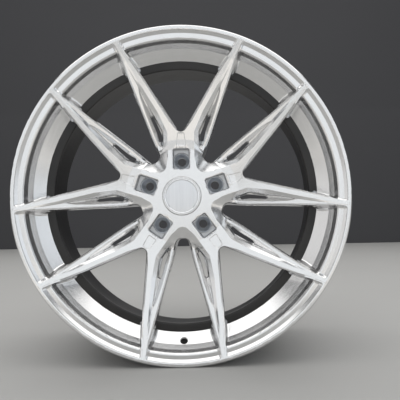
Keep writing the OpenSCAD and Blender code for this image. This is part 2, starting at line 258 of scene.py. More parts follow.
def star(p, d):
    """Signed distance of the arms, spokes, blades and hub, before the back is turned."""
    r = p["r"]
    below = np.clip(d - p["land"], -4, 60)
    wall_window = p["slim"] - p["window"] - p["draft"] * (below - 4)
    wall_valley = -p["valley"] - 0.12 * (below - 5)
    wall_gap = -p["gap"] - (p["draft"] * 1.3) * np.clip(d - p["web"] - 4, -8, 60)
    upper = common(common((p["front"] - d) * 0.8, wall_valley, 0.7), wall_window, 0.7)
    lower = common((p["web_front"] - d) * 0.8, common(wall_gap, wall_window, 0.7), 0.7)
    pocket = common(p["pocket"] + 0.15 * (d - p["web"]), (d - p["floor"]) * 0.95, 1.0)
    lower = cut(lower, pocket, 0.8)
    lower = cut(lower, p["slot"] + 0 * d, 0.8)
    hub = common((p["hub_front"] - d) * 0.7, common(wall_gap, wall_window, 0.7), 0.7)
    near_hub = np.clip((94 - r) / 14, 0, 1)
    return union(upper, lower, 1.0) * (1 - near_hub) + hub * near_hub, common(wall_window, wall_gap)


def forging(p, d, rim, back):
    """Signed distance of the whole forging; p from plan(), d the depth behind the lip."""
    r = p["r"]
    arms, outline = star(p, d)
    ring = rim(r + 0 * d, d)
    corner = union(outline, ring, 5.0)
    corner = common(corner, (p["fillet_front"] - d) * 0.85, 0.7)
    corner = common(corner, ring - 6)
    arms = common(union(arms, corner), back(r + 0 * d, d), 1.6)
    boss = common(common(p["bolt_r"] - 4.9, d - (JOINT_DEPTH + 1)), 30 - d)
    arms = union(arms, boss, 0.6)
    neck = common(common(p["neck"] - 0.1 * d, (p["land"] + 0.05 - d) * 0.95), common(d - 9, r - 268.5))
    solid = union(union(arms, ring), neck)
    return bored(solid, p, d)


def bored(solid, p, d):
    """The forging with its pockets and round holes, but for the valve's."""
    r = p["r"]
    solid = cut(solid, common(p["lug"] + 0.06 * (d - HUB_DEPTH), d - LUG_POCKET_DEPTH, 1.0), 0.7)
    solid = cut(solid, common(common(p["lug_r"] - 15.4, d - (LUG_POCKET_DEPTH + 1)), 57 - d))
    solid = cut(solid, common(common(p["lug_r"] - SEAT_HOLE_R, d - SEAT_BOTTOM), 60 - d))
    solid = cut(solid, p["lug_r"] - LUG_HOLE_R + 0 * d, 0.6)
    solid = cut(solid, common(p["recess"] + 0.5 * (d - p["land"]), d - p["land"] - 1.1, 0.3), 0.5)
    solid = cut(solid, common(p["relief"] - 0.08 * (d - FACE_DEPTH), FACE_DEPTH - 18 - d, 2.0), 0.9)
    solid = cut(solid, common(JOINT_DEPTH - d, BARREL_BORE_R - 0.3 - r))
    solid = cut(solid, common(r - CAP_BORE_R + 0 * d, d - 70), 0.5)
    solid = cut(solid, common(r - 33.6 + 0 * d, common(63 - d, d - 68)))
    solid = cut(solid, common(r - SPIGOT_BORE_R + 0 * d, 69.5 - d))
    solid = cut(solid, (r - SPIGOT_BORE_R - (d - HUB_SPAN)) * 0.7)
    return cut(solid, common(p["bolt_r"] - BOLT_HOLE_R, 30 - d))


def crossings_along(axis, field, values, lo, shape, h):
    """Crossings with the grid's edges along an axis: points, the cells round each, and its side."""
    inside = values < 0
    cell_shape = tuple(n - 1 for n in shape)
    a = [slice(None)] * 3
    b = [slice(None)] * 3
    a[axis], b[axis] = slice(0, -1), slice(1, None)
    change = inside[tuple(a)] != inside[tuple(b)]
    o1, o2 = [k for k in range(3) if k != axis]
    for k in (o1, o2):
        edge = [slice(None)] * 3
        edge[k] = slice(0, 1)
        change[tuple(edge)] = False
        edge[k] = slice(-1, None)
        change[tuple(edge)] = False
    i, j, k = np.nonzero(change)
    base = np.stack([i, j, k], 1)
    step = np.zeros(3, int)
    step[axis] = 1
    va = values[i, j, k]
    vb = values[i + step[0], j + step[1], k + step[2]]
    p0 = lo + base * h
    direction = step * h
    t0, t1 = np.zeros(len(va)), np.ones(len(va))
    f0, f1 = va.astype(float), vb.astype(float)
    t = f0 / (f0 - f1)
    for _ in range(3):
        f = field(p0 + direction * t[:, None])
        same = (f < 0) == (f0 < 0)
        t0, f0 = np.where(same, t, t0), np.where(same, f, f0)
        t1, f1 = np.where(same, t1, t), np.where(same, f1, f)
        t = t0 + (t1 - t0) * np.clip(f0 / (f0 - f1 + 1e-12), 0.1, 0.9)
    around = []
    for d1, d2 in ((-1, -1), (0, -1), (0, 0), (-1, 0)):
        c = base.copy()
        c[:, o1] += d1
        c[:, o2] += d2
        around.append(np.ravel_multi_index((c[:, 0], c[:, 1], c[:, 2]), cell_shape))
    return p0 + direction * t[:, None], np.stack(around, 1), (va < 0) == (axis != 1)


def best_points(points, normals, index, count):
    """For each cell, the point nearest to the planes through its crossings, kept near their middle."""
    rep = np.repeat(np.arange(len(points)), 4)
    q, m = points[rep], normals[rep]
    share = np.bincount(index, minlength=count)
    centre = np.stack([np.bincount(index, q[:, k], count) for k in range(3)], 1) / share[:, None]
    ata = np.zeros((count, 3, 3))
    atb = np.zeros((count, 3))
    dist = np.einsum("ij,ij->i", m, q - centre[index])
    for r in range(3):
        atb[:, r] = np.bincount(index, m[:, r] * dist, count)
        for c in range(r, 3):
            ata[:, r, c] = ata[:, c, r] = np.bincount(index, m[:, r] * m[:, c], count)
    ata += np.eye(3) * 0.08
    return centre + np.linalg.solve(ata, atb[:, :, None])[:, :, 0]


def surface(field, values, lo, h):
    """Mesh of field = 0 on a regular grid of its values, with corners kept sharp: points, quads."""
    shape = values.shape
    found = [crossings_along(axis, field, values, lo, shape, h) for axis in range(3)]
    points, cells, flips = (np.concatenate(part) for part in zip(*found))
    used, index = np.unique(cells.ravel(), return_inverse=True)
    index = index.reshape(-1)
    vertices = best_points(points, gradient(field, points), index, len(used))
    corner = np.stack(np.unravel_index(used, tuple(n - 1 for n in shape)), 1) * h + lo
    vertices = np.clip(vertices, corner - 0.1 * h, corner + 1.1 * h)
    quads = index.reshape(-1, 4)
    quads[flips] = quads[flips][:, ::-1]
    return vertices, quads


def gradient(field, points, e=0.05):
    """Unit normals of a field, worked out over a distance of e on each side."""
    g = np.stack([field(points + d * e) - field(points - d * e) for d in np.eye(3)], 1)
    return g / np.maximum(np.linalg.norm(g, axis=1, keepdims=True), 1e-9)


def to_scene(points):
    """Points (x, z, depth) in millimetres as scene coordinates in metres."""
    p = np.asarray(points, float)
    return np.stack([p[:, 0], p[:, 2] - FRONT, p[:, 1]], 1) / 1000


def from_scene(co):
    """Scene coordinates in metres as points (x, z, depth) in millimetres."""
    return np.stack([co[:, 0] * 1000, co[:, 2] * 1000, co[:, 1] * 1000 + FRONT], 1)


def new_object(name, vertices, faces):
    mesh = bpy.data.meshes.new(name)
    mesh.from_pydata([tuple(v) for v in vertices], [], [tuple(f) for f in faces])
    mesh.validate()
    obj = bpy.data.objects.new(name, mesh)
    bpy.context.scene.collection.objects.link(obj)
    mesh.polygons.foreach_set("use_smooth", [True] * len(mesh.polygons))
    return obj


def clean(mesh, distance):
    """Joins points that fall together and turns every face outwards."""
    bm = bmesh.new()
    bm.from_mesh(mesh)
    bmesh.ops.remove_doubles(bm, verts=bm.verts, dist=distance)
    bmesh.ops.recalc_face_normals(bm, faces=bm.faces)
    bm.to_mesh(mesh)
    bm.free()


def sharpen(mesh, degrees):
    """Marks the edges that are sharper than the angle."""
    bm = bmesh.new()
    bm.from_mesh(mesh)
    bmesh.ops.recalc_face_normals(bm, faces=bm.faces)
    limit = math.radians(degrees)
    for edge in bm.edges:
        edge.smooth = len(edge.link_faces) != 2 or edge.calc_face_angle(0) < limit
    bm.to_mesh(mesh)
    bm.free()


def finish_piece(obj, body, slot, material, *nodes):
    """Gives a piece its material, hangs it on the body that it rides on, and hides the CAD nodes that it
    stands for.
    """
    obj.data.materials.clear()
    obj.data.materials.append(material)
    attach(obj, body)
    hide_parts(*nodes)
    return obj


# ---------- turned pieces ----------

def soften(points, r, steps=4):
    """Closed outline with every corner rounded by up to r."""
    out = []
    for before, p, after in zip(points[-1:] + points[:-1], points, points[1:] + points[:1]):
        a, b = Vector(before) - Vector(p), Vector(after) - Vector(p)
        angle = a.angle(b)
        reach = min(r / math.tan(angle / 2), a.length * 0.42, b.length * 0.42)
        if reach < 0.02 or angle > math.radians(172):
            out.append(tuple(p))
            continue
        p0, p1 = Vector(p) + a.normalized() * reach, Vector(p) + b.normalized() * reach
        for i in range(steps + 1):
            t = i / steps
            q = p0 * (1 - t) ** 2 + Vector(p) * 2 * t * (1 - t) + p1 * t ** 2
            out.append((q.x, q.y))
    return out


def lathe(profile, segments, start=0.0, sweep=360.0, centre=(0.0, 0.0)):
    """Outline of (radius, depth) turned round the axis through centre: points and faces."""
    whole = sweep >= 360
    count = segments if whole else segments + 1
    angles = np.radians(start + sweep * np.arange(count) / segments)
    profile = np.asarray(profile, float)
    n = len(profile)
    x = profile[None, :, 0] * np.sin(angles)[:, None] + centre[0]
    z = profile[None, :, 0] * np.cos(angles)[:, None] + centre[1]
    d = np.broadcast_to(profile[None, :, 1], x.shape)
    points = np.stack([x, z, d], 2).reshape(-1, 3)
    faces = []
    for i in range(segments):
        a, b = i * n, ((i + 1) % count) * n
        for j in range(n):
            k = (j + 1) % n
            faces.append((a + j, a + k, b + k, b + j))
    if not whole:
        faces.append(tuple(range(n)))
        faces.append(tuple(range((count - 1) * n, count * n))[::-1])
    return points, faces


def merge(parts):
    """Several (points, faces) as one."""
    points, faces, base = [], [], 0
    for p, f in parts:
        points.append(np.asarray(p, float))
        faces += [tuple(i + base for i in face) for face in f]
        base += len(p)
    return np.concatenate(points), faces


def solid_of(name, parts, angle):
    """Object made of closed parts, with edges sharper than the angle kept crisp."""
    points, faces = merge(parts)
    obj = new_object(name, to_scene(points), faces)
    clean(obj.data, 1e-7)
    sharpen(obj.data, angle)
    return obj


# ---------- the front forging ----------

def valve_distance(points):
    """Signed distance to the valve hole, with its broken edge and its flat seat on the tyre's side."""
    out = np.array([0.0, -math.sin(VALVE_TILT), math.cos(VALVE_TILT)])
    w = points - np.array(VALVE_AT)
    along = w @ out
    r = np.linalg.norm(w - along[:, None] * out, axis=1)
    bore = r - (VALVE_R + np.clip(VALVE_CHAMFER - along, 0, VALVE_CHAMFER))
    seat = np.maximum(r - VALVE_SEAT_R, VALVE_WALL - along)
    return np.maximum(np.minimum(bore, seat), np.abs(along) - 15)


def whole_field(points):
    """Signed distance of the forging with its valve hole."""
    p = plan(points[:, 0], points[:, 1])
    body = forging(p, points[:, 2], exact(RIM), exact(BACK))
    return np.where(points[:, 1] < -200, cut(body, valve_distance(points)), body)


def sector_mesh(step, share):
    """One tenth of the forging, from the middle of an arm to the middle of a gap."""
    lo = np.array([-6.0, 26.0, -1.3])
    hi = np.array([168.0, 274.5, 100.3])
    shape = tuple(int(v) for v in np.ceil((hi - lo) / step) + 1)
    rim, back = table_of(RIM, 0, 330, -10, 110, 0.5), table_of(BACK, 0, 330, -10, 110, 0.5)
    xs, zs, ds = (lo[k] + step * np.arange(shape[k]) for k in range(3))
    values = np.empty(shape, np.float32)
    for i in range(0, shape[0], 16):
        p = plan(xs[i:i + 16, None, None], zs[None, :, None])
        values[i:i + 16] = forging(p, ds[None, None, :], rim, back)
    x, z = np.meshgrid(xs, zs, indexing="ij")
    values[(x < -4) | (x * math.cos(HALF) - z * math.sin(HALF) > 4)] = 1

    def at_points(q):
        return forging(plan(q[:, 0], q[:, 1]), q[:, 2], exact(RIM), exact(BACK))

    points, quads = surface(at_points, values, lo, step)
    obj = new_object("sector", to_scene(points), quads)
    thin = obj.modifiers.new("thin", "DECIMATE")
    thin.ratio = share
    graph = bpy.context.evaluated_depsgraph_get()
    bm = bmesh.new()
    bm.from_object(obj, graph)
    bpy.data.objects.remove(obj)
    for normal in ((-1, 0, 0), (math.cos(HALF), 0, -math.sin(HALF))):
        bmesh.ops.bisect_plane(bm, geom=bm.verts[:] + bm.edges[:] + bm.faces[:], dist=1e-7,
                               plane_co=(0, 0, 0), plane_no=normal, clear_outer=True)
    bmesh.ops.triangulate(bm, faces=bm.faces)
    bm.verts.ensure_lookup_table()
    vertices = np.array([v.co for v in bm.verts], float)
    faces = np.array([[v.index for v in f.verts] for f in bm.faces], int)
    bm.free()
    return vertices, faces


def turned(co, degrees, mirrored):
    """Points turned about the wheel's axis, mirrored first if asked."""
    x, z = (-co[:, 0] if mirrored else co[:, 0]), co[:, 2]
    a = math.radians(degrees)
    return np.stack([x * math.cos(a) + z * math.sin(a), co[:, 1], z * math.cos(a) - x * math.sin(a)], 1)


def corner_points(co, faces):
    """A point just inside each corner of each face, so that a flat face keeps its own normal."""
    corners = co[faces]
    middle = corners.mean(1, keepdims=True)
    way = middle - corners
    length = np.linalg.norm(way, axis=2, keepdims=True)
    return corners + way * np.minimum(0.3, 0.0005 / np.maximum(length, 1e-9))


def build_forging():
    """The forging: ten copies of its sector, joined, with the valve hole cut out."""
    vertices, faces = sector_mesh(GRID, FACES_KEPT)
    parts = []
    for k in range(ARMS):
        for mirrored in (False, True):
            parts.append((turned(vertices, 72 * k, mirrored), faces[:, ::-1] if mirrored else faces))
    points, tris = merge(parts)
    points[:, 1] = np.maximum(points[:, 1], -FRONT / 1000)
    points[:, ::2] /= np.maximum(np.hypot(points[:, 0], points[:, 2]) * 1000 / LIP_R, 1)[:, None]
    obj = new_object("forging_front", points, tris)
    clean(obj.data, WELD)
    cutter = valve_cutter()
    hole = obj.modifiers.new("valve hole", "BOOLEAN")
    hole.object = cutter
    hole.solver = "EXACT"
    graph = bpy.context.evaluated_depsgraph_get()
    mesh = bpy.data.meshes.new_from_object(obj.evaluated_get(graph))
    obj.modifiers.clear()
    obj.data = mesh
    bpy.data.objects.remove(cutter)
    bm = bmesh.new()
    bm.from_mesh(mesh)
    bmesh.ops.triangulate(bm, faces=bm.faces)
    bm.to_mesh(mesh)
    bm.free()
    dress_forging(mesh)
    return obj


def valve_cutter():
    """Solid that is taken out of the forging for the valve."""
    chamfered = VALVE_R + VALVE_CHAMFER
    profile = [(0.001, -14), (chamfered, -14), (chamfered, 0), (VALVE_R, VALVE_CHAMFER),
               (VALVE_R, VALVE_WALL), (VALVE_SEAT_R, VALVE_WALL), (VALVE_SEAT_R, 15), (0.001, 15)]
    points, faces = lathe(profile, 48)
    c, s = math.cos(VALVE_TILT), math.sin(VALVE_TILT)
    x, z, d = points[:, 0], points[:, 1], points[:, 2]
    placed = np.stack([x + VALVE_AT[0], z * c - d * s + VALVE_AT[1], z * s + d * c + VALVE_AT[2]], 1)
    obj = new_object("cutter", to_scene(placed), faces)
    clean(obj.data, WELD)
    return obj


def dress_forging(mesh):
    """Normals from the exact shape, and what the material needs to know of each part of it."""
    co = np.zeros(len(mesh.vertices) * 3)
    mesh.vertices.foreach_get("co", co)
    co = co.reshape(-1, 3)
    faces = np.zeros(len(mesh.loops), int)
    mesh.loops.foreach_get("vertex_index", faces)
    faces = faces.reshape(-1, 3)
    own = np.cross(co[faces[:, 1]] - co[faces[:, 0]], co[faces[:, 2]] - co[faces[:, 0]])
    own /= np.maximum(np.linalg.norm(own, axis=1, keepdims=True), 1e-15)
    own = np.repeat(own, 3, 0)
    exact_normals(mesh, co, faces, own)
    mark_finish(mesh, co, faces, own)


def exact_normals(mesh, co, faces, own):
    """Corner normals of the exact shape, or the face's own where the two disagree."""
    inner = from_scene(corner_points(co, faces).reshape(-1, 3))
    normals = np.empty_like(inner)
    for i in range(0, len(inner), 60000):
        normals[i:i + 60000] = gradient(whole_field, inner[i:i + 60000], 0.12)
    normals = np.stack([normals[:, 0], normals[:, 2], normals[:, 1]], 1)
    bad = (normals * own).sum(1) < 0.55
    normals[bad] = own[bad]
    mesh.polygons.foreach_set("use_smooth", [True] * len(mesh.polygons))
    mesh.normals_split_custom_set(normals.tolist())


def mark_finish(mesh, co, faces, own):
    """Attribute "grain" runs across and along the brushing; a second attribute is 1 in the pockets, deep
    walls and back, which get a rougher finish and a darker colour that paints their shade.
    """
    at = from_scene(co[faces].reshape(-1, 3))
    middle = from_scene(co[faces].mean(1))
    p = plan(middle[:, 0], middle[:, 1])
    ring = exact(RIM)(p["r"], middle[:, 2])
    on_ring = np.repeat(ring < 0.25, 3)
    wall = np.abs(own[:, 1]) < 0.62
    q = plan(at[:, 0], at[:, 1])
    trunk = np.repeat(p["az"] < 104, 3)
    across = np.where(trunk, q["ax"], q["window"] + 40)
    across = np.where(wall, at[:, 2], across)
    across = np.where(on_ring, q["r"] + at[:, 2], across)
    along = np.where(on_ring, np.arctan2(q["ax"], q["az"]) * q["r"], q["r"])
    grain = mesh.attributes.new("grain", "FLOAT_VECTOR", "CORNER")
    grain.data.foreach_set("vector", np.stack([across, along, on_ring * 50.0], 1).astype(np.float32).ravel())
    # Pockets, deep walls and back-facing faces get a rougher milled finish, and a darker colour that paints
    # the shade of these recesses.
    sunk = (p["lug"] < 0.3) & (middle[:, 2] > HUB_DEPTH + 1)
    sunk |= (own[::3, 1] > 0.3)
    sunk |= (np.abs(own[::3, 1]) < 0.5) & (middle[:, 2] > 60) | (middle[:, 2] > LUG_POCKET_DEPTH + 0.5)
    satin = mesh.attributes.new("satin", "FLOAT", "CORNER")
    satin.data.foreach_set("value", np.repeat(sunk, 3).astype(np.float32))


# ---------- materials ----------

class Nodes:
    """A material's node tree, built a node at a time."""

    def __init__(self, name):
        self.material = bpy.data.materials.new(name)
        self.material.use_nodes = True
        self.tree = self.material.node_tree
        self.shader = self.tree.nodes["Principled BSDF"]

    def add(self, kind, **settings):
        node = self.tree.nodes.new(kind)
        for key, value in settings.items():
            setattr(node, key, value)
        return node

    def join(self, out, into):
        self.tree.links.new(out, into)

    def fixed(self, **values):
        for key, value in values.items():
            self.shader.inputs[key.replace("_", " ")].default_value = value

    def noise(self, vector, scale, detail=3.0, roughness=0.55):
        node = self.add("ShaderNodeTexNoise")
        node.inputs["Scale"].default_value = scale
        node.inputs["Detail"].default_value = detail
        node.inputs["Roughness"].default_value = roughness
        self.join(vector, node.inputs["Vector"])
        return node.outputs["Fac"]

    def scaled(self, vector, scale):
        node = self.add("ShaderNodeVectorMath", operation="MULTIPLY")
        self.join(vector, node.inputs[0])
        node.inputs[1].default_value = scale
        return node.outputs["Vector"]

    def spread(self, value, low, high, from_low=0.25, from_high=0.75):
        node = self.add("ShaderNodeMapRange")
        self.join(value, node.inputs["Value"])
        node.inputs["From Min"].default_value = from_low
        node.inputs["From Max"].default_value = from_high
        node.inputs["To Min"].default_value = low
        node.inputs["To Max"].default_value = high
        return node.outputs["Result"]

    def math(self, operation, a, b=None):
        node = self.add("ShaderNodeMath", operation=operation)
        for socket, value in zip(node.inputs, (a, b)):
            if value is None:
                continue
            if isinstance(value, (int, float)):
                socket.default_value = value
            else:
                self.join(value, socket)
        return node.outputs["Value"]

    def ramp(self, value, low, high):
        node = self.add("ShaderNodeMix", data_type="RGBA")
        self.join(value, node.inputs["Factor"])
        node.inputs["A"].default_value = (*low, 1)
        node.inputs["B"].default_value = (*high, 1)
        return node.outputs["Result"]

    def blend(self, value, a, b):
        node = self.add("ShaderNodeMix", data_type="RGBA")
        self.join(value, node.inputs["Factor"])
        self.join(a, node.inputs["A"])
        self.join(b, node.inputs["B"])
        return node.outputs["Result"]

    def place(self):
        return self.add("ShaderNodeTexCoord").outputs["Object"]

    def bump(self, height, distance, strength=1.0):
        node = self.add("ShaderNodeBump")
        node.inputs["Strength"].default_value = strength
        node.inputs["Distance"].default_value = distance
        self.join(height, node.inputs["Height"])
        self.join(node.outputs["Normal"], self.shader.inputs["Normal"])

    def radial(self):
        """(radius, depth, angle) about the wheel's axis, in metres and turns."""
        split = self.add("ShaderNodeSeparateXYZ")
        self.join(self.place(), split.inputs["Vector"])
        x, y, z = split.outputs
        squares = self.math("ADD", self.math("MULTIPLY", x, x), self.math("MULTIPLY", z, z))
        radius = self.math("SQRT", squares)
        angle = self.math("ARCTAN2", x, z)
        joined = self.add("ShaderNodeCombineXYZ")
        self.join(radius, joined.inputs["X"])
        self.join(y, joined.inputs["Y"])
        self.join(self.math("MULTIPLY", angle, 0.16), joined.inputs["Z"])
        return joined.outputs["Vector"]


def brushed_forging():
    """Brushed and clear-coated aluminium; its pockets and back are rougher, and darker in colour as painted
    shade.
    """
    m = Nodes("brushed_forging")
    grain = m.add("ShaderNodeAttribute", attribute_name="grain").outputs["Vector"]
    satin = m.add("ShaderNodeAttribute", attribute_name="satin").outputs["Fac"]
    fine = m.noise(m.scaled(grain, (2.6, 0.05, 1)), 1.0, 4, 0.7)
    broad = m.noise(m.scaled(grain, (0.45, 0.012, 1)), 1.0, 2)
    cloud = m.noise(m.place(), 9.0, 3)
    mixed = m.math("ADD", m.math("MULTIPLY", fine, 0.6), m.math("MULTIPLY", broad, 0.4))
    shade = m.math("ADD", m.math("MULTIPLY", mixed, 0.7), m.math("MULTIPLY", cloud, 0.3))
    tone = m.spread(shade, 0, 1, 0.36, 0.64)
    bright = m.ramp(tone, (0.79, 0.785, 0.78), (0.87, 0.87, 0.875))
    # Darker colour for the pockets and back is painted shade, on top of their rougher finish.
    dull_and_shaded = m.ramp(tone, (0.50, 0.51, 0.525), (0.58, 0.59, 0.60))
    m.join(m.blend(satin, bright, dull_and_shaded), m.shader.inputs["Base Color"])
    rough = m.spread(mixed, 0.19, 0.27, 0.33, 0.67)
    m.join(m.math("ADD", rough, m.math("MULTIPLY", satin, 0.16)), m.shader.inputs["Roughness"])
    m.fixed(Metallic=1.0, Coat_Weight=0.35, Coat_Roughness=0.06)
    m.bump(fine, 0.00003, 0.6)
    return m.material


def gloss_barrel():
    """Black paint with a little orange peel and dust."""
    m = Nodes("black_barrel")
    place = m.place()
    peel = m.noise(place, 260.0, 2, 0.45)
    dust = m.noise(place, 14.0, 4)
    tone = m.ramp(m.spread(dust, 0, 1, 0.35, 0.7), (0.014, 0.013, 0.013), (0.030, 0.028, 0.027))
    m.join(tone, m.shader.inputs["Base Color"])
    m.join(m.spread(dust, 0.27, 0.38), m.shader.inputs["Roughness"])
    m.fixed(Metallic=0.0, Coat_Weight=0.12, Coat_Roughness=0.15, IOR=1.4)
    m.bump(peel, 0.00006, 0.35)
    return m.material


def turned_metal(name, low, high, rough, coarse=2400.0):
    """Metal with fine rings round the wheel's axis."""
    m = Nodes(name)
    rings = m.noise(m.scaled(m.radial(), (coarse, coarse, 6)), 1.0, 2)
    cloud = m.noise(m.place(), 30.0, 3)
    mixed = m.math("ADD", m.math("MULTIPLY", rings, 0.6), m.math("MULTIPLY", cloud, 0.4))
    m.join(m.ramp(m.spread(mixed, 0, 1, 0.35, 0.65), low, high), m.shader.inputs["Base Color"])
    m.join(m.spread(mixed, rough[0], rough[1], 0.35, 0.65), m.shader.inputs["Roughness"])
    m.fixed(Metallic=1.0)
    m.bump(rings, 0.00003, 0.5)
    return m.material


def plated(name, low, high, rough, scale=160.0):
    """Plated or polished metal with a faint mottle."""
    m = Nodes(name)
    grain = m.noise(m.place(), scale, 4)
    mist = m.noise(m.place(), scale * 6, 2)
    m.join(m.ramp(m.spread(grain, 0, 1, 0.35, 0.65), low, high), m.shader.inputs["Base Color"])
    m.join(m.spread(grain, rough[0], rough[1], 0.35, 0.65), m.shader.inputs["Roughness"])
    m.fixed(Metallic=1.0)
    m.bump(mist, 0.00002, 0.4)
    return m.material


def brushed_badge():
    """Aluminium brushed in one direction."""
    m = Nodes("badge_aluminium")
    streak = m.noise(m.scaled(m.place(), (2600, 60, 26)), 1.0, 3, 0.6)
    broad = m.noise(m.scaled(m.place(), (220, 30, 9)), 1.0, 2)
    mixed = m.math("ADD", m.math("MULTIPLY", streak, 0.5), m.math("MULTIPLY", broad, 0.5))
    tone = m.ramp(m.spread(mixed, 0, 1, 0.3, 0.7), (0.70, 0.71, 0.73), (0.80, 0.81, 0.83))
    m.join(tone, m.shader.inputs["Base Color"])
    m.join(m.spread(mixed, 0.27, 0.36, 0.35, 0.65), m.shader.inputs["Roughness"])
    m.fixed(Metallic=1.0, Coat_Weight=0.3, Coat_Roughness=0.1)
    m.bump(streak, 0.00003, 0.5)
    return m.material


def moulded(name, low, high, rough, scale=900.0):
    """Rubber or plastic with a fine moulded grain."""
    m = Nodes(name)
    grain = m.noise(m.place(), scale, 2)
    cloud = m.noise(m.place(), 40.0, 3)
    m.join(m.ramp(m.spread(cloud, 0, 1, 0.35, 0.65), low, high), m.shader.inputs["Base Color"])
    m.join(m.spread(grain, rough[0], rough[1]), m.shader.inputs["Roughness"])
    m.bump(grain, 0.00005, 0.5)
    return m.material


MATERIALS = {
    "forging": brushed_forging(),
    "barrel": gloss_barrel(),
    "rubber": moulded("seal_rubber", (0.012, 0.012, 0.012), (0.028, 0.028, 0.028), (0.5, 0.68)),
    "plated": plated("plated_steel", (0.50, 0.50, 0.52), (0.72, 0.72, 0.74), (0.22, 0.38)),
    "insert": plated("insert_steel", (0.38, 0.38, 0.40), (0.55, 0.55, 0.57), (0.32, 0.5)),
    "seat": plated("seat_steel", (0.62, 0.65, 0.70), (0.80, 0.83, 0.87), (0.34, 0.48), 90.0),
    "ring": turned_metal("turned_aluminium", (0.60, 0.61, 0.63), (0.82, 0.83, 0.84), (0.22, 0.36)),
    "cap": turned_metal("cap_aluminium", (0.72, 0.72, 0.73), (0.90, 0.90, 0.90), (0.16, 0.3)),
    "bezel": plated("bezel_chrome", (0.86, 0.86, 0.87), (0.95, 0.95, 0.95), (0.05, 0.11)),
    "badge": brushed_badge(),
    "plastic": moulded("carrier_plastic", (0.014, 0.014, 0.014), (0.035, 0.034, 0.033), (0.42, 0.6)),
    "spring": plated("spring_steel", (0.40, 0.40, 0.42), (0.60, 0.60, 0.62), (0.2, 0.36)),
}

# ---------- the pieces ----------

forging_piece = build_forging()
finish_piece(forging_piece, "wheel", "brushed_forging", MATERIALS["forging"], "front_forging")

barrel_outline = [
    (BARREL_BORE_R, JOINT_DEPTH), (JOINT_R, JOINT_DEPTH), (JOINT_R, JOINT_DEPTH + FLANGE_T),
    (230.8, 62), (230.8, 120), (250.05, 172), (251.55, 180), (251.55, 228), (253.75, 231), (252.85, 234),
    (254.25, 250.5), (257.5, 254.15), (262, 254.15), (266, 255.1), (269.2, 257.4), (271.1, 260.6),
    (LIP_R, 263.65), (LIP_R, 265), (269.5, REAR_DEPTH), (265.5, REAR_DEPTH), (259, 262.5), (249, 256),
    (246.75, 247), (246.75, 180), (245.25, 174), (226, 122), (226, 56),
    (225.4, JOINT_DEPTH + BOLTING_T), (BARREL_BORE_R, JOINT_DEPTH + BOLTING_T),
]
barrel_piece = solid_of("barrel", [lathe(soften(barrel_outline, 3.0, 5), 288)], 40)
finish_piece(barrel_piece, "wheel", "black_barrel", MATERIALS["barrel"], "inner_barrel")

seal_outline = [(231.1, JOINT_DEPTH), (234.9, JOINT_DEPTH), (234.9, JOINT_DEPTH + 3),
                (231.1, JOINT_DEPTH + 3)]
seal = solid_of("seal", [lathe(soften(seal_outline, 0.9, 5), 240)], 60)
finish_piece(seal, "wheel", "seal_rubber", MATERIALS["rubber"], "barrel_seal")

BOLT_ANGLES = [72 * k + side * math.degrees(FOOT_TURN) + pair * math.degrees(BOLT_TURN)
               for k in range(ARMS) for side in (-1, 1) for pair in (-1, 1)]


def on_circle(radius, degrees):
    a = math.radians(degrees)
    return radius * math.sin(a), radius * math.cos(a)


def twelve_point_head(centre, turn, d0, d1, r):
    """Head with twelve points, its outer edge chamfered, and a shallow dish in the top."""
    rings = [(d0, r, 0.0), (d1 - 1.1, r, 0.0), (d1 - 0.35, r * 0.90, 0.55), (d1, r * 0.80, 1.0),
             (d1, r * 0.55, 1.0), (d1 - 0.8, r * 0.42, 1.0), (d1 - 0.8, 0.02, 1.0)]
    n = 48
    points = []
    for d, size, roundness in rings:
        for i in range(n):
            a = 2 * math.pi * i / n
            wave = abs(((a * 12 / (2 * math.pi)) % 1) - 0.5) * 2
            far = size * (1 - 0.10 * (1 - wave) * (1 - roundness))
            points.append((centre[0] + far * math.sin(a + turn), centre[1] + far * math.cos(a + turn), d))
    faces = [tuple(range(n))[::-1]]
    for j in range(len(rings) - 1):
        for i in range(n):
            k = (i + 1) % n
            faces.append((j * n + i, j * n + k, (j + 1) * n + k, (j + 1) * n + i))
    faces.append(tuple(range((len(rings) - 1) * n, len(rings) * n)))
    return points, faces


shank = [(0.01, 33), (3.45, 33), (3.45, 56.4), (5.9, 56.2), (6.0, 57.2), (5.3, 57.7), (0.01, 57.7)]
washer_outline = [(3.8, 55), (6.2, 55), (6.2, 56.2), (3.8, 56.2)]
thread = [(4.35, 32), (4.35, 45.5), (3.55, 45.5)]
for k in range(12, 0, -1):
    thread += [(3.5, 32.6 + k), (3.8, 32.1 + k)]
thread.append((3.55, 32))
bolt_parts, washer_parts, insert_parts = [], [], []
for i, angle in enumerate(BOLT_ANGLES):
    c = on_circle(BOLT_CIRCLE_R, angle)
    bolt_parts.append(lathe(soften(shank, 0.3, 3), 36, centre=c))
    bolt_parts.append(twelve_point_head(c, math.radians(angle + 7.3 * i), 57.5, 62.7, 5.55))
    washer_parts.append(lathe(soften(washer_outline, 0.3, 3), 40, centre=c))
    insert_parts.append(lathe(thread, 32, centre=c))
bolts = solid_of("flange_bolts", bolt_parts, 28)
finish_piece(bolts, "wheel", "plated_steel", MATERIALS["plated"], "barrel_bolts")
washers = solid_of("washers", washer_parts, 40)
finish_piece(washers, "wheel", "plated_steel", MATERIALS["plated"], "bolt_washers")
inserts = solid_of("inserts", insert_parts, 40)
finish_piece(inserts, "wheel", "insert_steel", MATERIALS["insert"], "thread_inserts")

